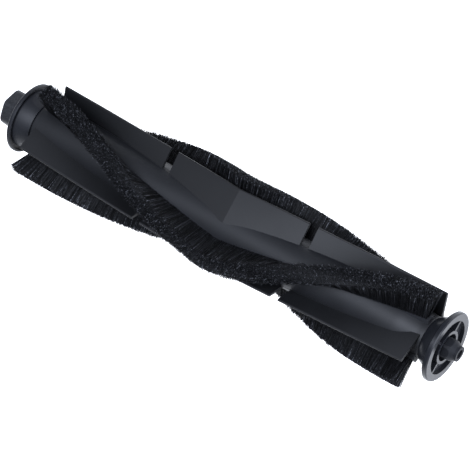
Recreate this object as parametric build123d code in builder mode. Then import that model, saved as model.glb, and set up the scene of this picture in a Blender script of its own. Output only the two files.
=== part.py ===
from math import cos, isclose, radians, sin
import os

from build123d import *

# Roller brush of a robot vacuum cleaner. The roller lies along X: the origin is the
# centre of the drive flange's outer face, +X runs to the bearing end and +Z is up as it rests.
# Angles are in degrees about X, from +Y towards +Z. Lengths are in millimetres.

# Stations along the roller
drive_flange_thickness = 1.4
collar_length = 6.1
core_length = 166.7
neck_length = 4.8
bearing_flange_thickness = 2.0

# Core
core_radius = 9.4
core_bore_radius = 5.0
core_edge_chamfer = 0.25
core_end_radius = 8.0
core_taper_length = 7.0
core_land_length = 2.7
strip_start_margin = 1.1
strip_end_margin = 0.6
row_count = 3

# Bristle rows: a V whose roots and tips turn from the middle to each end
bristle_root_mid_angle = 128.0
bristle_root_end_angle = 45.5
bristle_tip_mid_angle = 135.0
bristle_tip_end_angle = 45.0
bristle_tip_radius = 19.8
bristle_tip_half_angle = 10.0
bristle_root_half_width = 1.4
bristle_crown = 0.6
bristle_end_splay = 2.0
spine_mouth_half_width = 1.6
spine_floor_half_width = 2.0
spine_depth = 2.2

# Rubber blades: the root follows the V, the tip is almost straight
blade_root_mid_angle = 68.0
blade_root_end_angle = -14.5
blade_tip_mid_angle = 30.5
blade_tip_end_angle = 9.0
blade_tip_radius = 16.0
blade_tip_thickness = 1.0
blade_root_thickness = 1.5
blade_foot_mouth_half_width = 1.9
blade_foot_floor_half_width = 2.3
blade_foot_depth = 1.8
blade_root_rise = 1.6
blade_root_half_width = 1.7
blade_root_sink = 0.2
notch_offset = 29.85
notch_width = 3.5
notch_floor_height = 0.7

# Drive end cap
drive_flange_radius = 13.25
drive_rim_chamfer = 0.3
drive_lip_width = 0.85
drive_groove_depth = 0.9
collar_flange_radius = 11.05
collar_bulge_radius = 10.45
collar_seam_radius = 9.5
seam_width = 0.5
seam_depth = 0.9
collar_flat_depth = 0.45
collar_flat_start = 0.4
boss_across_flats = 13.0
boss_length = 8.5
boss_corner_radius = 2.8
boss_edge_chamfer = 0.5
boss_angle = 81.0
boss_recess_radius = 4.2
boss_recess_depth = 7.0
drive_web_depth = 3.0
plug_length = 10.0
plug_wall = 1.5

# Bearing end cap
bearing_flange_radius = 12.9
bearing_rim_chamfer = 0.4
face_ring_width = 2.9
neck_radius = 7.7
neck_middle_radius = 8.95
neck_middle_place = 1.8
neck_flare_radius = 9.6
face_ring_depth = 1.5
funnel_mouth_radius = 8.4
funnel_floor_radius = 6.9
funnel_depth = 4.0
hub_ring_radius = 6.25
hub_ring_wall = 1.15
hub_ring_setback = 0.15
hub_floor_depth = 4.6
spoke_count = 4
spoke_thickness = 0.9
spoke_setback = 0.5
spoke_overlap = 0.2
spoke_angle = -5.0

# Bearing sleeve and its axle
sleeve_reach = 4.8
sleeve_base_radius = 4.5
sleeve_base_length = 2.4
sleeve_root_radius = 4.3
sleeve_shoulder_radius = 3.9
sleeve_shoulder_length = 1.8
sleeve_across_flats = 7.4
sleeve_facets = 6
sleeve_facet_angle = 25.0
nose_radius = 2.75
nose_length = 1.0
nose_hole_radius = 1.65
nose_hole_depth = 2.6
axle_radius = 1.25
axle_head_radius = 1.5
axle_head_length = 1.0
axle_grip_length = 6.0
axle_slot_width = 0.5
axle_slot_depth = 0.5

# Clearances
strip_clearance = 0.06
pile_seat_gap = 0.08
plug_clearance = 0.05
axle_grip_clearance = 0.02
running_clearance = 0.05
end_float = 0.1

# Places worked out from the sizes above
core_start = drive_flange_thickness + collar_length
core_end = core_start + core_length
strip_half_length = (core_length - strip_start_margin - strip_end_margin) / 2
mid_plane = core_start + strip_start_margin + strip_half_length
taper_end = core_end - core_land_length
taper_start = taper_end - core_taper_length
lip_radius = drive_flange_radius - drive_lip_width
lip_groove_floor = drive_flange_thickness - drive_groove_depth
seam_start = core_start - seam_width
seam_floor_radius = collar_seam_radius - seam_depth
flange_back = core_end + neck_length
flange_front = flange_back + bearing_flange_thickness
face_ring_radius = bearing_flange_radius - face_ring_width
hub_bore_radius = hub_ring_radius - hub_ring_wall
hub_front = flange_front - hub_ring_setback
hub_floor = flange_front - hub_floor_depth
plug_radius = core_bore_radius - plug_clearance
plug_hollow_radius = plug_radius - plug_wall
ledge = flange_front - face_ring_depth
funnel_floor = flange_front - funnel_depth
sleeve_base = hub_floor + end_float
sleeve_base_top = sleeve_base + sleeve_base_length
sleeve_bore_radius = axle_radius + running_clearance
nose_end = flange_front + sleeve_reach
nose_start = nose_end - nose_length
nose_hole_floor = nose_end - nose_hole_depth
axle_start = hub_floor - axle_grip_length
axle_head_start = nose_hole_floor + end_float
axle_head_end = axle_head_start + axle_head_length
row_pitch = 360.0 / row_count
station_count = 9
cut_margin = 1.0


def section_point(angle, across, outward):
    """Y and Z of a point that lies outward along an angle and across it."""
    a = radians(angle)
    return (outward * cos(a) - across * sin(a), outward * sin(a) + across * cos(a))


def along(share, mid_value, end_value):
    return mid_value + (end_value - mid_value) * share


def stations():
    return [step / (station_count - 1) for step in range(station_count)]


def axial_plane(angle):
    """Plane through the roller axis: its x is along the roller, its y points outward."""
    a = radians(angle)
    return Plane(origin=(0, 0, 0), x_dir=(1, 0, 0), z_dir=(0, -sin(a), cos(a)))


def dovetail(angle, mouth_half, floor_half, floor_radius, top_radius):
    """Corners of a strip's foot or groove, widening towards its floor."""
    return [
        section_point(angle, -floor_half, floor_radius),
        section_point(angle, floor_half, floor_radius),
        section_point(angle, mouth_half, top_radius),
        section_point(angle, -mouth_half, top_radius),
    ]


def v_strip(corners_at, half_length):
    """A strip that runs in a V: one half lofted through its sections, then mirrored."""
    with BuildPart() as strip:
        for share in stations():
            with BuildSketch(Plane.YZ.offset(mid_plane + half_length * share)):
                with BuildLine():
                    Polyline(*corners_at(share), close=True)
                make_face()
        loft()
        mirror(about=Plane.YZ.offset(mid_plane))
    return strip.part


def round_rims(solid, radius):
    return solid.edges().filter_by(GeomType.CIRCLE).filter_by(lambda rim: isclose(rim.radius, radius))


def bristle_root_angle(share):
    return along(share, bristle_root_mid_angle, bristle_root_end_angle)


def blade_root_angle(share):
    return along(share, blade_root_mid_angle, blade_root_end_angle)


def spine_groove_corners(share):
    return dovetail(
        bristle_root_angle(share),
        spine_mouth_half_width,
        spine_floor_half_width,
        core_radius - spine_depth,
        core_radius + cut_margin,
    )


def spine_corners(share):
    return dovetail(
        bristle_root_angle(share),
        spine_mouth_half_width - strip_clearance,
        spine_floor_half_width - strip_clearance,
        core_radius - spine_depth + strip_clearance,
        core_radius,
    )


def blade_groove_corners(share):
    return dovetail(
        blade_root_angle(share),
        blade_foot_mouth_half_width,
        blade_foot_floor_half_width,
        core_radius - blade_foot_depth,
        core_radius + cut_margin,
    )


def blade_foot_corners(share):
    return dovetail(
        blade_root_angle(share),
        blade_foot_mouth_half_width - strip_clearance,
        blade_foot_floor_half_width - strip_clearance,
        core_radius - blade_foot_depth + strip_clearance,
        core_radius,
    )


def blade_fin_corners(share):
    """A fin that grows out of the foot in a wide root and leans to its tip."""
    root_angle = blade_root_angle(share)
    lean = radians(along(share, blade_tip_mid_angle, blade_tip_end_angle) - root_angle)
    rise = blade_tip_radius * cos(lean) - core_radius
    drift = blade_tip_radius * sin(lean)
    fin_length = (rise**2 + drift**2) ** 0.5
    up, side = rise / fin_length, drift / fin_length

    def fin_point(distance, half_thickness):
        return section_point(
            root_angle,
            side * distance + up * half_thickness,
            core_radius + up * distance - side * half_thickness,
        )

    return [
        section_point(root_angle, -blade_root_half_width, core_radius - blade_root_sink),
        section_point(root_angle, blade_root_half_width, core_radius - blade_root_sink),
        fin_point(blade_root_rise, blade_root_thickness / 2),
        fin_point(fin_length, blade_tip_thickness / 2),
        fin_point(fin_length, -blade_tip_thickness / 2),
        fin_point(blade_root_rise, -blade_root_thickness / 2),
    ]


def bristle_outline(share):
    """Section plane of a bristle row, which fans out towards its ends, and its outline there."""
    root_angle = bristle_root_angle(share)
    tip_angle = along(share, bristle_tip_mid_angle, bristle_tip_end_angle)
    root_x = mid_plane + (strip_half_length - bristle_end_splay) * share
    tip_x = mid_plane + strip_half_length * share
    root_radius = core_radius + pile_seat_gap
    edge_radius = bristle_tip_radius - bristle_crown
    root = Vector(root_x, *section_point(root_angle, 0, root_radius))
    tip = Vector(tip_x, *section_point(tip_angle, 0, bristle_tip_radius))
    across = Vector(0, *section_point(root_angle, 1, 0))
    plane = Plane(origin=root, x_dir=tip - root, z_dir=(tip - root).cross(across))
    corners = [
        Vector(root_x, *section_point(root_angle, -bristle_root_half_width, root_radius)),
        Vector(root_x, *section_point(root_angle, bristle_root_half_width, root_radius)),
        Vector(tip_x, *section_point(tip_angle + bristle_tip_half_angle, 0, edge_radius)),
        tip,
        Vector(tip_x, *section_point(tip_angle - bristle_tip_half_angle, 0, edge_radius)),
    ]
    local = [plane.to_local_coords(corner) for corner in corners]
    return plane, [(corner.X, corner.Y) for corner in local]


# Bristle row: the trimmed pile as one closed solid
with BuildPart() as bristle_pile:
    for share in stations():
        section_plane, outline = bristle_outline(share)
        with BuildSketch(section_plane):
            with BuildLine():
                Polyline(*outline, close=True)
            make_face()
    loft()
    mirror(about=Plane.YZ.offset(mid_plane))

# Spine that holds a bristle row in its groove
with BuildPart() as bristle_spine:
    add(v_strip(spine_corners, strip_half_length - strip_clearance))

# Rubber blade with two notches, cut down to a low root
with BuildPart() as rubber_blade:
    add(v_strip(blade_foot_corners, strip_half_length - strip_clearance))
    add(v_strip(blade_fin_corners, strip_half_length - strip_clearance))
    notch_floor = core_radius + notch_floor_height
    notch_top = blade_tip_radius + cut_margin
    with BuildSketch(Plane.XY):
        with Locations(
            (mid_plane - notch_offset, (notch_floor + notch_top) / 2),
            (mid_plane + notch_offset, (notch_floor + notch_top) / 2),
        ):
            Rectangle(notch_width, notch_top - notch_floor)
    revolve(axis=Axis.X, mode=Mode.SUBTRACT)

# Core: a tube with a V groove for each strip, turned down a little at the bearing end
spine_groove = v_strip(spine_groove_corners, strip_half_length)
blade_groove = v_strip(blade_groove_corners, strip_half_length)
with BuildPart() as roller_core:
    with BuildSketch(Plane.XY):
        with BuildLine():
            Polyline(
                (core_start, core_bore_radius),
                (core_start, core_radius - core_edge_chamfer),
                (core_start + core_edge_chamfer, core_radius),
                (taper_start, core_radius),
                (taper_end, core_end_radius),
                (core_end - core_edge_chamfer, core_end_radius),
                (core_end, core_end_radius - core_edge_chamfer),
                (core_end, core_bore_radius),
                close=True,
            )
        make_face()
    revolve(axis=Axis.X)
    for row in range(row_count):
        turn = (row * row_pitch, 0, 0)
        add(spine_groove, rotation=turn, mode=Mode.SUBTRACT)
        add(blade_groove, rotation=turn, mode=Mode.SUBTRACT)

# Drive end: flange with a ring groove, bowl-shaped collar and plug, with a hexagonal boss outside
with BuildPart() as drive_end_cap:
    with BuildSketch(Plane.XY):
        with BuildLine():
            Polyline(
                (seam_start, collar_seam_radius),
                (seam_start, seam_floor_radius),
                (core_start, seam_floor_radius),
                (core_start, plug_radius),
                (core_start + plug_length, plug_radius),
                (core_start + plug_length, plug_hollow_radius),
                (drive_web_depth, plug_hollow_radius),
                (drive_web_depth, 0),
                (0, 0),
                (0, drive_flange_radius),
                (drive_flange_thickness, drive_flange_radius),
                (drive_flange_thickness, lip_radius),
                (lip_groove_floor, lip_radius),
                (lip_groove_floor, collar_flange_radius),
                (drive_flange_thickness, collar_flange_radius),
            )
            ThreePointArc(
                (drive_flange_thickness, collar_flange_radius),
                ((drive_flange_thickness + seam_start) / 2, collar_bulge_radius),
                (seam_start, collar_seam_radius),
            )
        make_face()
    revolve(axis=Axis.X)
    chamfer(round_rims(drive_end_cap, drive_flange_radius), drive_rim_chamfer)
    flat_start = drive_flange_thickness + collar_flat_start
    for row in range(row_count):
        with BuildSketch(axial_plane(bristle_tip_end_angle + row * row_pitch)):
            with BuildLine():
                Polyline(
                    (flat_start, collar_flange_radius),
                    (core_start, collar_seam_radius - collar_flat_depth),
                    (core_start, drive_flange_radius),
                    (flat_start, drive_flange_radius),
                    close=True,
                )
            make_face()
        extrude(amount=collar_flange_radius, both=True, mode=Mode.SUBTRACT)
    with BuildSketch(Plane.YZ):
        RegularPolygon(boss_across_flats / 2, 6, major_radius=False, rotation=boss_angle)
        fillet(vertices(), boss_corner_radius)
    extrude(amount=-boss_length)
    chamfer(faces().sort_by(Axis.X)[0].edges(), boss_edge_chamfer)
    with BuildSketch(Plane.YZ.offset(-boss_length)):
        Circle(boss_recess_radius)
    extrude(amount=boss_recess_depth, mode=Mode.SUBTRACT)

# Bearing end: plug, flared neck and flange, with a hub ring on spokes in the open face
with BuildPart() as bearing_end_cap:
    with BuildSketch(Plane.XY):
        with BuildLine():
            ThreePointArc(
                (core_end, neck_radius),
                (core_end + neck_middle_place, neck_middle_radius),
                (flange_back, neck_flare_radius),
            )
            Polyline(
                (flange_back, neck_flare_radius),
                (flange_back, bearing_flange_radius),
                (flange_front, bearing_flange_radius),
                (flange_front, face_ring_radius),
                (ledge, face_ring_radius),
                (ledge, funnel_mouth_radius),
                (funnel_floor, funnel_floor_radius),
                (funnel_floor, hub_ring_radius),
                (hub_front, hub_ring_radius),
                (hub_front, hub_bore_radius),
                (hub_floor, hub_bore_radius),
                (hub_floor, axle_radius + axle_grip_clearance),
                (axle_start, axle_radius + axle_grip_clearance),
                (axle_start, plug_hollow_radius),
                (core_end - plug_length, plug_hollow_radius),
                (core_end - plug_length, plug_radius),
                (core_end, plug_radius),
                (core_end, neck_radius),
            )
        make_face()
    revolve(axis=Axis.X)
    chamfer(round_rims(bearing_end_cap, bearing_flange_radius), bearing_rim_chamfer)
    spoke_front = flange_front - spoke_setback
    spoke_root = hub_ring_radius - spoke_overlap
    for spoke in range(spoke_count):
        with BuildSketch(axial_plane(spoke_angle + spoke * 360.0 / spoke_count)):
            with BuildLine():
                Polyline(
                    (spoke_front, spoke_root),
                    (spoke_front, face_ring_radius + spoke_overlap),
                    (ledge - spoke_overlap, face_ring_radius + spoke_overlap),
                    (ledge - spoke_overlap, funnel_mouth_radius + spoke_overlap),
                    (funnel_floor - spoke_overlap, funnel_floor_radius),
                    (funnel_floor - spoke_overlap, spoke_root),
                    close=True,
                )
            make_face()
        extrude(amount=spoke_thickness / 2, both=True)

# Bearing sleeve: round base in the hub ring, faceted barrel and round nose
with BuildPart() as bearing_sleeve:
    with BuildSketch(Plane.XY):
        with BuildLine():
            Polyline(
                (sleeve_base, sleeve_bore_radius),
                (sleeve_base, sleeve_base_radius),
                (sleeve_base_top, sleeve_base_radius),
                (sleeve_base_top, sleeve_root_radius),
                (nose_start - sleeve_shoulder_length, sleeve_shoulder_radius),
                (nose_start, nose_radius),
                (nose_end, nose_radius),
                (nose_end, nose_hole_radius),
                (nose_hole_floor, nose_hole_radius),
                (nose_hole_floor, sleeve_bore_radius),
                close=True,
            )
        make_face()
    revolve(axis=Axis.X)
    with BuildSketch(Plane.YZ.offset(sleeve_base_top)):
        Circle(sleeve_base_radius + cut_margin)
        RegularPolygon(
            sleeve_across_flats / 2,
            sleeve_facets,
            major_radius=False,
            rotation=sleeve_facet_angle,
            mode=Mode.SUBTRACT,
        )
    extrude(amount=nose_end - sleeve_base_top, mode=Mode.SUBTRACT)

# Shoulder screw that the sleeve turns on
with BuildPart() as axle_screw:
    with BuildSketch(Plane.XY):
        with BuildLine():
            Polyline(
                (axle_start, 0),
                (axle_start, axle_radius),
                (axle_head_start, axle_radius),
                (axle_head_start, axle_head_radius),
                (axle_head_end, axle_head_radius),
                (axle_head_end, 0),
                close=True,
            )
        make_face()
    revolve(axis=Axis.X)
    with BuildSketch(Plane.YZ.offset(axle_head_end)):
        Rectangle(axle_slot_width, 2 * axle_head_radius + cut_margin)
    extrude(amount=-axle_slot_depth, mode=Mode.SUBTRACT)


def export_piece(piece, name):
    piece.label = name
    export_step(piece, f"parts/{name}.step")


os.makedirs("parts", exist_ok=True)
export_piece(roller_core.part, "roller_core")
export_piece(drive_end_cap.part, "drive_end_cap")
export_piece(bearing_end_cap.part, "bearing_end_cap")
export_piece(bearing_sleeve.part, "bearing_sleeve")
export_piece(axle_screw.part, "axle_screw")
for row in range(row_count):
    turn = Rotation(row * row_pitch, 0, 0)
    export_piece(turn * bristle_spine.part, f"bristle_spine_{row + 1}")
    export_piece(turn * bristle_pile.part, f"bristle_pile_{row + 1}")
    export_piece(turn * rubber_blade.part, f"rubber_blade_{row + 1}")
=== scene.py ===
from math import cos, exp, pi, radians, sin, sqrt
import bmesh
import bpy
from mathutils import Matrix, Vector


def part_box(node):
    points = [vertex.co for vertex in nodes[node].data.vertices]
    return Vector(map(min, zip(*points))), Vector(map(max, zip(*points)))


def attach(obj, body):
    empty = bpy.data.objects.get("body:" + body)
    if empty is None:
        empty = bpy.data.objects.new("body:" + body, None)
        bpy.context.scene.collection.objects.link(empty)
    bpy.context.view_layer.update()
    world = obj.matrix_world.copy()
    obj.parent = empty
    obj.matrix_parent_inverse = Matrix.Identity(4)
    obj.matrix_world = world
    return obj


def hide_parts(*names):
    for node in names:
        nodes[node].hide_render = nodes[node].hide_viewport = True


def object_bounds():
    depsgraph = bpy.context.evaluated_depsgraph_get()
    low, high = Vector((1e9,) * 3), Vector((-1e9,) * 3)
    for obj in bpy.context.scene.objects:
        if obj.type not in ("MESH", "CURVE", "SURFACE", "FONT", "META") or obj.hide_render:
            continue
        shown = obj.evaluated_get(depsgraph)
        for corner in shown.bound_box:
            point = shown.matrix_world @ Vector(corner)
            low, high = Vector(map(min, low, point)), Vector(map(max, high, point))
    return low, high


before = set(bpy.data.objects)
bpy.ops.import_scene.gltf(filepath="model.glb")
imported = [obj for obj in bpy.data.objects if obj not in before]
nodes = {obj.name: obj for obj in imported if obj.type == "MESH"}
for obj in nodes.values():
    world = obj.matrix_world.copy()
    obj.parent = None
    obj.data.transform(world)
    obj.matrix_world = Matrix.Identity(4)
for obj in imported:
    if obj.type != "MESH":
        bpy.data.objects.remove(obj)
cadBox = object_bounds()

# Robot vacuum roller brush. X runs along the roller, from the drive end to the bearing end.
# Piece sizes below are in millimetres, angles in degrees about X from +Y towards +Z.
mm = 0.001
coreLow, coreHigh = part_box("roller_core")
bladeLow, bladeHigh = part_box("rubber_blade_1")
midX = (bladeLow[0] + bladeHigh[0]) / 2 / mm
coreStart, coreEnd = coreLow[0] / mm, coreHigh[0] / mm
coreRadius = (coreHigh[1] - coreLow[1]) / 2 / mm
rowNumbers = (1, 2, 3)
rowPitch = 360 / len(rowNumbers)
weldDistance = 1e-7
sharpAngle = 32
print("frame loaded:", len(nodes), "nodes")


def polar(x, angle, radius):
    return Vector((x, radius * cos(radians(angle)), radius * sin(radians(angle)))) * mm


def newPiece(name, mesh):
    piece = bpy.data.objects.new(name, mesh)
    bpy.context.scene.collection.objects.link(piece)
    return piece


def meshFrom(bm, name):
    bmesh.ops.remove_doubles(bm, verts=bm.verts, dist=weldDistance)
    bmesh.ops.recalc_face_normals(bm, faces=bm.faces)
    mesh = bpy.data.meshes.new(name)
    bm.to_mesh(mesh)
    bm.free()
    mesh.shade_smooth()
    mesh.set_sharp_from_angle(angle=radians(sharpAngle))
    return mesh


def finishPiece(piece, body, slot, material, *standsFor):
    piece.data.materials.clear()
    piece.data.materials.append(material)
    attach(piece, body)
    if standsFor:
        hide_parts(*standsFor)


# Rings of points joined into a skin. A ring is a list of vectors, all rings have the same count
def joinRings(bm, rings, capped=True):
    loops = [[bm.verts.new(point) for point in ring] for ring in rings]
    for low, high in zip(loops, loops[1:]):
        for i in range(len(low)):
            j = (i + 1) % len(low)
            bm.faces.new((low[i], low[j], high[j], high[i]))
    if capped:
        bm.faces.new(loops[0])
        bm.faces.new(loops[-1])


# Corner points (x, radius, rounding) to a profile with every rounded corner as a short curve
def roundedProfile(corners, steps=5, sideShare=0.49):
    profile = []
    for i, (x, r, rounding) in enumerate(corners):
        here = Vector((x, r))
        if not rounding or i in (0, len(corners) - 1):
            profile.append((x, r))
            continue
        before = Vector(corners[i - 1][:2]) - here
        after = Vector(corners[i + 1][:2]) - here
        start = here + before.normalized() * min(rounding, before.length * sideShare)
        end = here + after.normalized() * min(rounding, after.length * sideShare)
        for step in range(steps + 1):
            t = step / steps
            point = start * (1 - t) ** 2 + here * 2 * t * (1 - t) + end * t**2
            profile.append((point.x, point.y))
    return profile


# A turned skin along X
def turnProfile(bm, profile, segments):
    rings = [[polar(x, 360 * i / segments, r) for i in range(segments)] for x, r in profile]
    joinRings(bm, rings, capped=False)


# How far along its V a place is, from 0 at the point to 1 at the end, with the point rounded
def shareAlong(s, halfLength, rounding):
    return (sqrt(s * s + rounding**2) - rounding) / (sqrt(halfLength**2 + rounding**2) - rounding)


# Materials. A blue above 1 makes a grey cooler
plasticBlue, bossBlue, bristleBlue = 1.3, 1.15, 1.15
bumpDepth = 0.02


def addNode(tree, kind, **settings):
    node = tree.nodes.new(kind)
    for name, value in settings.items():
        setattr(node, name, value)
    return node


def newMaterial(name):
    material = bpy.data.materials.new(name)
    material.use_nodes = True
    tree = material.node_tree
    tree.nodes.clear()
    shader = addNode(tree, "ShaderNodeBsdfPrincipled")
    out = addNode(tree, "ShaderNodeOutputMaterial")
    tree.links.new(shader.outputs["BSDF"], out.inputs["Surface"])
    return material, tree, shader


def noiseOn(tree, coords, scale, detail=3.0, stretch=None):
    noise = addNode(tree, "ShaderNodeTexNoise")
    noise.inputs["Scale"].default_value = scale
    noise.inputs["Detail"].default_value = detail
    source = coords
    if stretch:
        mapping = addNode(tree, "ShaderNodeMapping")
        mapping.inputs["Scale"].default_value = stretch
        tree.links.new(coords, mapping.inputs["Vector"])
        source = mapping.outputs["Vector"]
    tree.links.new(source, noise.inputs["Vector"])
    return noise.outputs["Fac"]


def rampOn(tree, fac, low, high, start=0.3, end=0.7):
    ramp = addNode(tree, "ShaderNodeValToRGB")
    ramp.color_ramp.elements[0].position = start
    ramp.color_ramp.elements[1].position = end
    ramp.color_ramp.elements[0].color = low
    ramp.color_ramp.elements[1].color = high
    tree.links.new(fac, ramp.inputs["Fac"])
    return ramp.outputs["Color"]


def grey(value, blue=1.0):
    return (value, value * (1 + (blue - 1) * 0.25), value * blue, 1)


def mouldedPlastic(name, look):
    material, tree, shader = newMaterial(name)
    coords = addNode(tree, "ShaderNodeTexCoord").outputs["Object"]
    cloud = noiseOn(tree, coords, look["cloudScale"], 4)
    grain = noiseOn(tree, coords, look["grainScale"], 2)
    tone, spread = look["tone"], look["toneSpread"]
    darker, lighter = grey(tone * (1 - spread), plasticBlue), grey(tone * (1 + spread), plasticBlue)
    colour = rampOn(tree, cloud, darker, lighter)
    if "bossTone" in look:
        place = addNode(tree, "ShaderNodeSeparateXYZ")
        tree.links.new(coords, place.inputs[0])
        onBoss = addNode(tree, "ShaderNodeMapRange")
        onBoss.inputs["From Min"].default_value = look["bossAt"][0] * mm
        onBoss.inputs["From Max"].default_value = look["bossAt"][1] * mm
        tree.links.new(place.outputs["X"], onBoss.inputs["Value"])
        bossTone, bossSpread = look["bossTone"], look["bossSpread"]
        speckle = rampOn(tree, grain, grey(bossTone * (1 - bossSpread), bossBlue),
                         grey(bossTone * (1 + bossSpread), bossBlue))
        blend = addNode(tree, "ShaderNodeMix", data_type="RGBA")
        tree.links.new(onBoss.outputs["Result"], blend.inputs["Factor"])
        tree.links.new(speckle, blend.inputs[6])
        tree.links.new(colour, blend.inputs[7])
        colour = blend.outputs[2]
    tree.links.new(colour, shader.inputs["Base Color"])
    rough = addNode(tree, "ShaderNodeMapRange")
    rough.inputs["To Min"].default_value = look["roughness"] - look["roughSpread"]
    rough.inputs["To Max"].default_value = look["roughness"] + look["roughSpread"]
    tree.links.new(cloud, rough.inputs["Value"])
    tree.links.new(rough.outputs["Result"], shader.inputs["Roughness"])
    bump = addNode(tree, "ShaderNodeBump")
    bump.inputs["Strength"].default_value = look["bump"]
    bump.inputs["Distance"].default_value = bumpDepth * mm
    tree.links.new(grain, bump.inputs["Height"])
    tree.links.new(bump.outputs["Normal"], shader.inputs["Normal"])
    shader.inputs["Specular IOR Level"].default_value = look["specular"]
    return material


corePlasticLook = {"tone": 0.008, "toneSpread": 0.12, "roughness": 0.55, "roughSpread": 0.05,
                   "cloudScale": 90, "grainScale": 2600, "bump": 0.25, "specular": 0.4}
capPlasticLook = {"tone": 0.012, "toneSpread": 0.12, "roughness": 0.3, "roughSpread": 0.05,
                  "cloudScale": 140, "grainScale": 1800, "bump": 0.15, "specular": 0.19}
drivePlasticLook = {"tone": 0.014, "toneSpread": 0.12, "roughness": 0.5, "roughSpread": 0.05,
                    "cloudScale": 140, "grainScale": 1800, "bump": 0.15, "specular": 0.24,
                    "bossTone": 0.028, "bossSpread": 0.4, "bossAt": (-0.5, -0.1)}
sleevePlasticLook = {"tone": 0.010, "toneSpread": 0.1, "roughness": 0.6, "roughSpread": 0.05,
                     "cloudScale": 300, "grainScale": 3000, "bump": 0.2, "specular": 0.15}
spinePlasticLook = {"tone": 0.012, "toneSpread": 0.15, "roughness": 0.6, "roughSpread": 0.05,
                    "cloudScale": 200, "grainScale": 2500, "bump": 0.3, "specular": 0.4}
bladeRubberLook = {"tone": 0.004, "toneSpread": 0.14, "roughness": 0.56, "roughSpread": 0.06,
                   "cloudScale": 70, "grainScale": 1500, "bump": 0.35, "specular": 0.38}
corePlastic = mouldedPlastic("corePlastic", corePlasticLook)
capPlastic = mouldedPlastic("capPlastic", capPlasticLook)
drivePlastic = mouldedPlastic("drivePlastic", drivePlasticLook)
sleevePlastic = mouldedPlastic("sleevePlastic", sleevePlasticLook)
spinePlastic = mouldedPlastic("spinePlastic", spinePlasticLook)
bladeRubber = mouldedPlastic("bladeRubber", bladeRubberLook)


steelLook = {"dark": 0.32, "light": 0.5, "ringScale": 900, "ringStretch": (6, 1, 1), "roughness": 0.35}


def turnedSteel():
    material, tree, shader = newMaterial("turnedSteel")
    coords = addNode(tree, "ShaderNodeTexCoord").outputs["Object"]
    rings = noiseOn(tree, coords, steelLook["ringScale"], 3, stretch=steelLook["ringStretch"])
    colour = rampOn(tree, rings, grey(steelLook["dark"]), grey(steelLook["light"]))
    tree.links.new(colour, shader.inputs["Base Color"])
    shader.inputs["Metallic"].default_value = 1.0
    shader.inputs["Roughness"].default_value = steelLook["roughness"]
    return material


# The strand's shade picks a tone from dark to light. It is darkened towards the root as painted shade deep
# in the pile, and in dark flecks
bristleLook = {"dark": 0.003, "middle": 0.045, "light": 0.36, "middleAt": 0.4,
               "rootPaintedShade": 0.4, "middlePaintedShade": 0.52, "tipPaintedShade": 1.0,
               "fleckScale": 1500, "fleckDark": 0.25, "fleckFrom": 0.4, "fleckTo": 0.6,
               "roughness": 0.5, "specular": 0.1}


def bristleNylon():
    material, tree, shader = newMaterial("bristleNylon")
    shade = addNode(tree, "ShaderNodeAttribute", attribute_name="shade").outputs["Fac"]
    along = addNode(tree, "ShaderNodeAttribute", attribute_name="along").outputs["Fac"]
    # painted shade: each strand is darkened from tip to root, standing in for the shade deep inside the
    # pile
    paintedShadeRamp = addNode(tree, "ShaderNodeValToRGB")
    paintedShadeRamp.color_ramp.elements.new(0.5)
    for element, part in zip(paintedShadeRamp.color_ramp.elements, ("rootPaintedShade", "middlePaintedShade", "tipPaintedShade")):
        element.color = grey(bristleLook[part])
    tree.links.new(along, paintedShadeRamp.inputs["Fac"])
    strand = addNode(tree, "ShaderNodeMath", operation="MULTIPLY")
    tree.links.new(shade, strand.inputs[0])
    tree.links.new(paintedShadeRamp.outputs["Color"], strand.inputs[1])
    coords = addNode(tree, "ShaderNodeTexCoord").outputs["Object"]
    specks = noiseOn(tree, coords, bristleLook["fleckScale"], 1)
    fleck = rampOn(tree, specks, grey(bristleLook["fleckDark"]), grey(1),
                   bristleLook["fleckFrom"], bristleLook["fleckTo"])
    flecked = addNode(tree, "ShaderNodeMath", operation="MULTIPLY")
    tree.links.new(strand.outputs[0], flecked.inputs[0])
    tree.links.new(fleck, flecked.inputs[1])
    ramp = addNode(tree, "ShaderNodeValToRGB")
    ramp.color_ramp.elements.new(bristleLook["middleAt"])
    for element, tone in zip(ramp.color_ramp.elements, ("dark", "middle", "light")):
        element.color = grey(bristleLook[tone], bristleBlue)
    tree.links.new(flecked.outputs[0], ramp.inputs["Fac"])
    tree.links.new(ramp.outputs["Color"], shader.inputs["Base Color"])
    shader.inputs["Roughness"].default_value = bristleLook["roughness"]
    shader.inputs["Specular IOR Level"].default_value = bristleLook["specular"]
    return material


bristleMaterial = bristleNylon()
steel = turnedSteel()
print("materials ready")


# Core: the smooth tube between the end caps, turned down at the bearing end
core = {"bore": 5.0, "edge": 0.25, "endRadius": 8.0, "taper": 7.0, "land": 2.7,
        "taperRounding": 2.0, "landRounding": 1.0, "segments": 192}


def buildCore():
    bm = bmesh.new()
    corners = [
        (coreStart, core["bore"], 0),
        (coreStart, coreRadius, core["edge"]),
        (coreEnd - core["land"] - core["taper"], coreRadius, core["taperRounding"]),
        (coreEnd - core["land"], core["endRadius"], core["landRounding"]),
        (coreEnd, core["endRadius"], core["edge"]),
        (coreEnd, core["bore"], 0),
    ]
    profile = roundedProfile(corners)
    profile.append(profile[0])
    turnProfile(bm, profile, core["segments"])
    piece = newPiece("rollerCore", meshFrom(bm, "rollerCore"))
    finishPiece(piece, "roller", "core_plastic", corePlastic, "roller_core")


# Rubber blades: a leaning fin that is sunk into the core and has two notches
blade = {
    "rootMid": 68.0, "rootEnd": -14.5, "tipMid": 30.5, "tipEnd": 9.0,
    "tipRadius": 16.4, "tipThickness": 1.0, "rootThickness": 1.3, "sink": 2.6,
    "halfLength": 82.1, "notchInner": 28.1, "notchOuter": 31.6, "ridgeHeight": 0.05, "ridgeDepth": 0.8,
    "stationStep": 1.6, "notchStep": 0.7, "tipSteps": 6,
}


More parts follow.
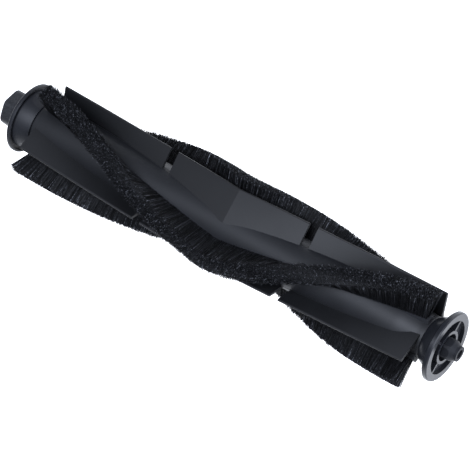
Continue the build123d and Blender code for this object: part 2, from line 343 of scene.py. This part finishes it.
def bladeAngles(s):
    share = abs(s) / blade["halfLength"]
    rootAngle = blade["rootMid"] + (blade["rootEnd"] - blade["rootMid"]) * share
    tipAngle = blade["tipMid"] + (blade["tipEnd"] - blade["tipMid"]) * share
    return rootAngle, tipAngle


# Root angle of a blade section, and its points across (first) and outward (second) as a closed ring
def bladeSection(s):
    rootAngle, tipAngle = bladeAngles(s)
    lean = radians(tipAngle - rootAngle)
    tip = Vector((blade["tipRadius"] * sin(lean), blade["tipRadius"] * cos(lean) - coreRadius))
    outward = tip.normalized()
    across = Vector((outward.y, -outward.x))
    rootHalf, tipHalf = blade["rootThickness"] / 2, blade["tipThickness"] / 2
    foot = -outward * blade["sink"]
    crown = tip - outward * tipHalf
    ring = [foot - across * rootHalf, foot + across * rootHalf]
    for step in range(blade["tipSteps"] + 1):
        turn = pi * step / blade["tipSteps"]
        ring.append(crown + across * tipHalf * cos(turn) + outward * tipHalf * sin(turn))
    return rootAngle, ring


# The low strip that joins the fin's lengths under the notches
def ridgeSection(s):
    rootAngle = bladeAngles(s)[0]
    half, low, high = blade["rootThickness"] / 2, -blade["ridgeDepth"], blade["ridgeHeight"]
    return rootAngle, [Vector(point) for point in ((-half, low), (half, low), (half, high), (-half, high))]


def placeSection(s, turn, section):
    rootAngle, ring = section(s)
    a = radians(rootAngle + turn)
    placed = []
    for across, outward in ring:
        radius = coreRadius + outward
        y, z = radius * cos(a) - across * sin(a), radius * sin(a) + across * cos(a)
        placed.append(Vector((midX + s, y, z)) * mm)
    return placed


def stationsBetween(start, end, step):
    count = max(1, round(abs(end - start) / step))
    return [start + (end - start) * i / count for i in range(count + 1)]


def buildBlade(number):
    turn = rowPitch * (number - 1)
    full, inner, outer = blade["halfLength"], blade["notchInner"], blade["notchOuter"]
    step, notchStep = blade["stationStep"], blade["notchStep"]
    runs = [
        (stationsBetween(-full, -outer, step), bladeSection),
        (stationsBetween(-inner, 0, step) + stationsBetween(0, inner, step)[1:], bladeSection),
        (stationsBetween(outer, full, step), bladeSection),
        (stationsBetween(-outer, -inner, notchStep), ridgeSection),
        (stationsBetween(inner, outer, notchStep), ridgeSection),
    ]
    bm = bmesh.new()
    for stations, section in runs:
        joinRings(bm, [placeSection(s, turn, section) for s in stations])
    mesh = meshFrom(bm, f"rubberBlade{number}")
    # the crease down the point of the V
    apexWidth = 1e-6
    apex = {v.index for v in mesh.vertices if abs(v.co.x - midX * mm) < apexWidth}
    for edge in mesh.edges:
        if edge.vertices[0] in apex and edge.vertices[1] in apex:
            edge.use_edge_sharp = True
    piece = newPiece(f"rubberBlade{number}", mesh)
    finishPiece(piece, "roller", "blade_rubber", bladeRubber, f"rubber_blade_{number}")


# Bristle rows: strands grow from a ribbon on the core, each towards its own place on the trimmed top.
# A sway (place along the row, width, degrees) bows the tips of one row a little, as worn bristles do,
# and a fan is how far they reach past the drive end and the bearing end. A strand's thickness is a share
# of its length
row = {
    "rootMid": 128.0, "rootEnd": 45.5, "rounding": 2.7, "rootHalfWidth": 1.4,
    "tipHalfAngle": 10.8, "tipRadius": 20.0, "crown": 0.5, "halfLength": 82.4, "endSplay": 1.0,
    "sways": {1: ((12, 20, 11), (-22, 18, 8), (70, 22, -7), (-84, 12, 4)),
              2: ((0, 20, 8), (32, 18, 4)),
              3: ((0, 20, 7), (-38, 16, -7), (50, 16, -6), (-58, 10, -5), (84, 12, -13))},
    "fans": {1: (0.3, 0.6), 2: (2.6, -0.8), 3: (1.8, -2.5)}, "fanFrom": 0.9,
    "heartWidth": 0.9, "heartFoot": 0.02, "heartHeight": 0.93, "heartEnd": 0.997,
    "heartPaintedShade": 0.1, "heartAlong": 0.5,
    "strandsPerSquareMm": 46.0, "thickness": 0.008, "tipTaper": 0.85, "clump": 0.6, "stray": 0.8,
    "lengthSpread": 0.05, "clumpScale": 420.0, "tuftScale": 2600.0,
    "tuftRange": (0.35, 0.7), "tuftDarkest": 0.45, "strandShadeFrom": 0.3,
    "seed": 11, "lengthSeed": 5, "shadeSeed": 9, "alongSteps": 120, "acrossSteps": 4,
}


def bristleTree():
    tree = bpy.data.node_groups.new("bristleRow", "GeometryNodeTree")
    sockets = [
        ("Geometry", "NodeSocketGeometry"), ("Density", "NodeSocketFloat"),
        ("Thickness", "NodeSocketFloat"), ("Clump", "NodeSocketFloat"), ("Clump Scale", "NodeSocketFloat"),
        ("Stray", "NodeSocketFloat"), ("Length Spread", "NodeSocketFloat"),
        ("Tuft Scale", "NodeSocketFloat"), ("Seed", "NodeSocketInt"), ("Material", "NodeSocketMaterial"),
    ]
    for name, kind in sockets:
        tree.interface.new_socket(name, in_out="INPUT", socket_type=kind)
    tree.interface.new_socket("Geometry", in_out="OUTPUT", socket_type="NodeSocketGeometry")
    link = tree.links.new
    given = addNode(tree, "NodeGroupInput").outputs
    result = addNode(tree, "NodeGroupOutput").inputs

    # one strand: a thin tapered stem of unit length
    line = addNode(tree, "GeometryNodeCurvePrimitiveLine")
    line.inputs["End"].default_value = (0, 0, 1)
    place = addNode(tree, "GeometryNodeSplineParameter")
    taper = addNode(tree, "ShaderNodeMapRange")
    taper.inputs["To Min"].default_value = 1.0
    taper.inputs["To Max"].default_value = row["tipTaper"]
    radius = addNode(tree, "GeometryNodeSetCurveRadius")
    marked = addNode(tree, "GeometryNodeStoreNamedAttribute", data_type="FLOAT", domain="POINT")
    marked.inputs["Name"].default_value = "along"
    outline = addNode(tree, "GeometryNodeCurvePrimitiveCircle")
    outline.inputs["Resolution"].default_value = 3
    skin = addNode(tree, "GeometryNodeCurveToMesh")
    skin.inputs["Fill Caps"].default_value = True
    link(place.outputs["Factor"], taper.inputs["Value"])
    link(line.outputs["Curve"], radius.inputs["Curve"])
    link(taper.outputs["Result"], radius.inputs["Radius"])
    link(radius.outputs["Curve"], marked.inputs["Geometry"])
    link(place.outputs["Factor"], marked.inputs["Value"])
    link(marked.outputs["Geometry"], skin.inputs["Curve"])
    link(given["Thickness"], outline.inputs["Radius"])
    link(outline.outputs["Curve"], skin.inputs["Profile Curve"])

    # where strands stand and which way they lean
    scatter = addNode(tree, "GeometryNodeDistributePointsOnFaces")
    toTip = addNode(tree, "GeometryNodeInputNamedAttribute", data_type="FLOAT_VECTOR")
    toTip.inputs["Name"].default_value = "toTip"
    spot = addNode(tree, "GeometryNodeInputPosition")
    noise = addNode(tree, "ShaderNodeTexNoise")
    centred = addNode(tree, "ShaderNodeVectorMath", operation="SUBTRACT")
    centred.inputs[1].default_value = (0.5, 0.5, 0.5)
    clumped = addNode(tree, "ShaderNodeVectorMath", operation="SCALE")
    loose = addNode(tree, "FunctionNodeRandomValue", data_type="FLOAT_VECTOR")
    loose.inputs["Min"].default_value = (-1, -1, -1)
    loose.inputs["Max"].default_value = (1, 1, 1)
    strayed = addNode(tree, "ShaderNodeVectorMath", operation="SCALE")
    together = addNode(tree, "ShaderNodeVectorMath", operation="ADD")
    aim = addNode(tree, "ShaderNodeVectorMath", operation="ADD")
    link(given["Geometry"], scatter.inputs["Mesh"])
    link(given["Density"], scatter.inputs["Density"])
    link(given["Seed"], scatter.inputs["Seed"])
    link(spot.outputs["Position"], noise.inputs["Vector"])
    link(given["Clump Scale"], noise.inputs["Scale"])
    link(noise.outputs["Color"], centred.inputs[0])
    link(centred.outputs["Vector"], clumped.inputs[0])
    link(given["Clump"], clumped.inputs["Scale"])
    link(given["Seed"], loose.inputs["Seed"])
    link(loose.outputs["Value"], strayed.inputs[0])
    link(given["Stray"], strayed.inputs["Scale"])
    link(clumped.outputs["Vector"], together.inputs[0])
    link(strayed.outputs["Vector"], together.inputs[1])
    link(toTip.outputs["Attribute"], aim.inputs[0])
    link(together.outputs["Vector"], aim.inputs[1])
    turned = addNode(tree, "FunctionNodeAlignRotationToVector", axis="Z")
    roll = addNode(tree, "FunctionNodeRandomValue", data_type="FLOAT")
    roll.inputs[3].default_value = 2 * pi
    spin = addNode(tree, "FunctionNodeAxisAngleToRotation")
    spin.inputs["Axis"].default_value = (0, 0, 1)
    rolled = addNode(tree, "FunctionNodeRotateRotation", rotation_space="LOCAL")
    link(aim.outputs["Vector"], turned.inputs["Vector"])
    link(roll.outputs[1], spin.inputs["Angle"])
    link(turned.outputs["Rotation"], rolled.inputs["Rotation"])
    link(spin.outputs["Rotation"], rolled.inputs["Rotate By"])
    reach = addNode(tree, "ShaderNodeVectorMath", operation="LENGTH")
    shorter = addNode(tree, "ShaderNodeMath", operation="SUBTRACT")
    shorter.inputs[0].default_value = 1.0
    cut = addNode(tree, "FunctionNodeRandomValue", data_type="FLOAT")
    cut.inputs["Seed"].default_value = row["lengthSeed"]
    length = addNode(tree, "ShaderNodeMath", operation="MULTIPLY")
    link(toTip.outputs["Attribute"], reach.inputs[0])
    link(given["Length Spread"], shorter.inputs[1])
    link(shorter.outputs[0], cut.inputs[2])
    link(reach.outputs["Value"], length.inputs[0])
    link(cut.outputs[1], length.inputs[1])

    # strands set on their spots, each with a shade of its own
    planted = addNode(tree, "GeometryNodeInstanceOnPoints")
    single = addNode(tree, "FunctionNodeRandomValue", data_type="FLOAT")
    single.inputs["Seed"].default_value = row["shadeSeed"]
    tuft = addNode(tree, "ShaderNodeTexNoise")
    tuft.inputs["Detail"].default_value = 1.0
    tuftTone = addNode(tree, "ShaderNodeMapRange")
    tuftTone.inputs["From Min"].default_value = row["tuftRange"][0]
    tuftTone.inputs["From Max"].default_value = row["tuftRange"][1]
    tuftTone.inputs["To Min"].default_value = row["tuftDarkest"]
    singleTone = addNode(tree, "ShaderNodeMapRange")
    singleTone.inputs["From Min"].default_value = row["strandShadeFrom"]
    tone = addNode(tree, "ShaderNodeMath", operation="MULTIPLY")
    shaded = addNode(tree, "GeometryNodeStoreNamedAttribute", data_type="FLOAT", domain="INSTANCE")
    shaded.inputs["Name"].default_value = "shade"
    realised = addNode(tree, "GeometryNodeRealizeInstances")
    finished = addNode(tree, "GeometryNodeSetMaterial")
    link(scatter.outputs["Points"], planted.inputs["Points"])
    link(skin.outputs["Mesh"], planted.inputs["Instance"])
    link(rolled.outputs["Rotation"], planted.inputs["Rotation"])
    link(length.outputs[0], planted.inputs["Scale"])
    link(planted.outputs["Instances"], shaded.inputs["Geometry"])
    link(spot.outputs["Position"], tuft.inputs["Vector"])
    link(given["Tuft Scale"], tuft.inputs["Scale"])
    link(tuft.outputs["Fac"], tuftTone.inputs["Value"])
    link(tuftTone.outputs["Result"], tone.inputs[0])
    link(single.outputs[1], singleTone.inputs["Value"])
    link(singleTone.outputs["Result"], tone.inputs[1])
    link(tone.outputs[0], shaded.inputs["Value"])
    link(shaded.outputs["Geometry"], realised.inputs["Geometry"])
    link(realised.outputs["Geometry"], finished.inputs["Geometry"])
    link(given["Material"], finished.inputs["Material"])
    link(finished.outputs["Geometry"], result["Geometry"])
    return tree


# Root on the core and tip above it, for a place u along (-1 to 1) and v across (-1 to 1)
def strandLine(number, u, v):
    tipS = u * row["halfLength"]
    rootS = u * (row["halfLength"] - row["endSplay"])
    share = shareAlong(tipS, row["halfLength"], row["rounding"])
    rootAngle = row["rootMid"] + (row["rootEnd"] - row["rootMid"]) * share + rowPitch * (number - 1)
    tipAngle = rootAngle + sum(amount * exp(-((tipS - place) / width) ** 2)
                               for place, width, amount in row["sways"][number])
    sideAngle = v * row["rootHalfWidth"] / coreRadius * 180 / pi
    root = polar(midX + rootS, rootAngle + sideAngle, coreRadius)
    fan = row["fans"][number][u > 0] * (max(0, abs(u) - row["fanFrom"]) / (1 - row["fanFrom"])) ** 2
    tipX = midX + tipS + (fan if u > 0 else -fan)
    tip = polar(tipX, tipAngle + v * row["tipHalfAngle"], row["tipRadius"] - row["crown"] * v * v)
    return root, tip


# Ribbon of strand roots. Its toTip attribute leads from a root to the tip above it
def rootRibbon(number):
    ribbon = bpy.data.meshes.new(f"bristleRoots{number}")
    points, leads, faces = [], [], []
    alongCount, acrossCount = row["alongSteps"] + 1, row["acrossSteps"] + 1
    for i in range(alongCount):
        for j in range(acrossCount):
            root, tip = strandLine(number, 2 * i / row["alongSteps"] - 1, 2 * j / row["acrossSteps"] - 1)
            points.append(root)
            leads.append(tip - root)
    for i in range(alongCount - 1):
        for j in range(acrossCount - 1):
            corner = i * acrossCount + j
            faces.append((corner, corner + 1, corner + acrossCount + 1, corner + acrossCount))
    ribbon.from_pydata(points, [], faces)
    lead = ribbon.attributes.new("toTip", "FLOAT_VECTOR", "POINT")
    lead.data.foreach_set("vector", [value for vector in leads for value in vector])
    return ribbon


# The dense heart of a row, which the outer strands hide. Its dark tone is painted shade of the pile's
# inside
def rowHeart(bm, number):
    width, foot, height = row["heartWidth"], row["heartFoot"], row["heartHeight"]
    path = [(-width, foot), (-width, height / 2), (-width, height), (-width / 2, height), (0, height),
            (width / 2, height), (width, height), (width, height / 2), (width, foot)]
    rings = []
    for i in range(row["alongSteps"] + 1):
        u = (2 * i / row["alongSteps"] - 1) * row["heartEnd"]
        ring = []
        for v, h in path:
            root, tip = strandLine(number, u, v)
            ring.append(root + (tip - root) * h)
        rings.append(ring)
    joinRings(bm, rings)


def buildBristles(number, tree):
    grower = newPiece(f"bristleRoots{number}", rootRibbon(number))
    modifier = grower.modifiers.new("bristles", "NODES")
    modifier.node_group = tree
    values = {
        "Density": row["strandsPerSquareMm"] / mm**2, "Thickness": row["thickness"],
        "Clump": row["clump"] * mm, "Clump Scale": row["clumpScale"],
        "Stray": row["stray"] * mm, "Length Spread": row["lengthSpread"], "Tuft Scale": row["tuftScale"],
        "Seed": row["seed"] + number, "Material": bristleMaterial,
    }
    for item in tree.interface.items_tree:
        if item.in_out == "INPUT" and item.name in values:
            modifier[item.identifier] = values[item.name]
    bpy.context.view_layer.update()
    depsgraph = bpy.context.evaluated_depsgraph_get()
    mesh = bpy.data.meshes.new_from_object(grower.evaluated_get(depsgraph), depsgraph=depsgraph)
    mesh.name = f"bristleRow{number}"
    grower.modifiers.remove(modifier)
    bpy.data.objects.remove(grower)
    bm = bmesh.new()
    bm.from_mesh(mesh)
    heart = bmesh.new()
    rowHeart(heart, number)
    bmesh.ops.recalc_face_normals(heart, faces=heart.faces)
    heartMesh = bpy.data.meshes.new("heart")
    heart.to_mesh(heartMesh)
    heart.free()
    strandPoints = len(bm.verts)
    bm.from_mesh(heartMesh)
    bm.verts.ensure_lookup_table()
    shade, along = bm.verts.layers.float["shade"], bm.verts.layers.float["along"]
    # painted shade: the heart gets a low tone so the inside of the pile reads as shade
    for vert in bm.verts[strandPoints:]:
        vert[shade], vert[along] = row["heartPaintedShade"], row["heartAlong"]
    for face in bm.faces:
        face.material_index = 0
    bm.to_mesh(mesh)
    bm.free()
    bpy.data.meshes.remove(heartMesh)
    piece = newPiece(f"bristleRow{number}", mesh)
    finishPiece(piece, "roller", "bristle_nylon", bristleMaterial, f"bristle_pile_{number}")
    print("bristle row", number, len(mesh.polygons), "faces")


buildCore()
for number in rowNumbers:
    buildBlade(number)
strandTree = bristleTree()
for number in rowNumbers:
    buildBristles(number, strandTree)
print("strips ready")

# CAD nodes that are shown as they are
nodeMaterials = {"drive_end_cap": drivePlastic, "bearing_end_cap": capPlastic,
                 "bearing_sleeve": sleevePlastic, "axle_screw": steel}
for number in rowNumbers:
    nodeMaterials[f"bristle_spine_{number}"] = spinePlastic
for name, material in nodeMaterials.items():
    nodes[name].data.materials.clear()
    nodes[name].data.materials.append(material)
print("CAD nodes dressed:", len(nodeMaterials))


# Floor, light and camera
studio = {"floorSize": 3.0, "floorTone": 0.9, "floorRoughness": 0.9, "floorGlow": 1.0,
          "worldStrength": 0.22, "exposure": 0.0, "lampColour": (0.86, 0.92, 1.06)}
photoView = {"axisTurn": 65.67, "roundAngle": 85.0, "roll": 28.945, "distance": 0.95,
             "aimX": 0.0905, "offRight": 1.487, "offDown": 2.437, "lens": 210.5, "clipStart": 0.01}
lamps = [
    {"name": "topSoftbox", "place": (0.15, 0.0, 0.95), "size": 0.5, "power": 10.3},
    {"name": "endFill", "place": (0.8, 0.1, 0.35), "size": 0.6, "power": 6.5},
]


def buildStage():
    half = studio["floorSize"] / 2
    floorZ = cadBox[0][2]
    mesh = bpy.data.meshes.new("floor")
    corners = ((-half, -half), (half, -half), (half, half), (-half, half))
    mesh.from_pydata([(x, y, floorZ) for x, y in corners], [], [(0, 1, 2, 3)])
    floor = newPiece("floor", mesh)
    material, tree, shader = newMaterial("paleFloor")
    tone = studio["floorTone"]
    shader.inputs["Base Color"].default_value = (tone, tone, tone, 1)
    shader.inputs["Roughness"].default_value = studio["floorRoughness"]
    shader.inputs["Emission Color"].default_value = (1, 1, 1, 1)
    shader.inputs["Emission Strength"].default_value = studio["floorGlow"]
    mesh.materials.append(material)


def buildLights():
    aim = Vector((midX * mm, 0, 0))
    for lamp in lamps:
        data = bpy.data.lights.new(lamp["name"], "AREA")
        data.shape = "DISK"
        data.size = lamp["size"]
        data.energy = lamp["power"]
        data.color = studio["lampColour"]
        light = bpy.data.objects.new(lamp["name"], data)
        light.location = lamp["place"]
        light.rotation_euler = (aim - light.location).to_track_quat("-Z", "Y").to_euler()
        bpy.context.scene.collection.objects.link(light)
    world = bpy.data.worlds.new("studio")
    world.use_nodes = True
    world.node_tree.nodes["Background"].inputs["Color"].default_value = (*studio["lampColour"], 1)
    world.node_tree.nodes["Background"].inputs["Strength"].default_value = studio["worldStrength"]
    bpy.context.scene.world = world


def buildCamera():
    turn, around = radians(photoView["axisTurn"]), radians(photoView["roundAngle"])
    roll = radians(photoView["roll"])
    towards = Vector((0, cos(around), sin(around)))
    across = Vector((0, sin(around), -cos(around)))
    back = Vector((1, 0, 0)) * cos(turn) + towards * sin(turn)
    axisInView = Vector((1, 0, 0)) * sin(turn) - towards * cos(turn)
    right = axisInView * cos(roll) + across * sin(roll)
    down = axisInView * sin(roll) - across * cos(roll)
    place = Vector((photoView["aimX"], 0, 0)) + back * photoView["distance"]
    place += right * photoView["offRight"] * mm + down * photoView["offDown"] * mm
    data = bpy.data.cameras.new("photoCamera")
    data.lens = photoView["lens"]
    data.clip_start = photoView["clipStart"]
    camera = bpy.data.objects.new("photoCamera", data)
    camera.matrix_world = Matrix.Translation(place) @ Matrix((right, -down, back)).transposed().to_4x4()
    bpy.context.scene.collection.objects.link(camera)
    bpy.context.scene.camera = camera


buildStage()
buildLights()
buildCamera()
bpy.context.scene.view_settings.view_transform = "Standard"
bpy.context.scene.view_settings.exposure = studio["exposure"]
print("stage ready")
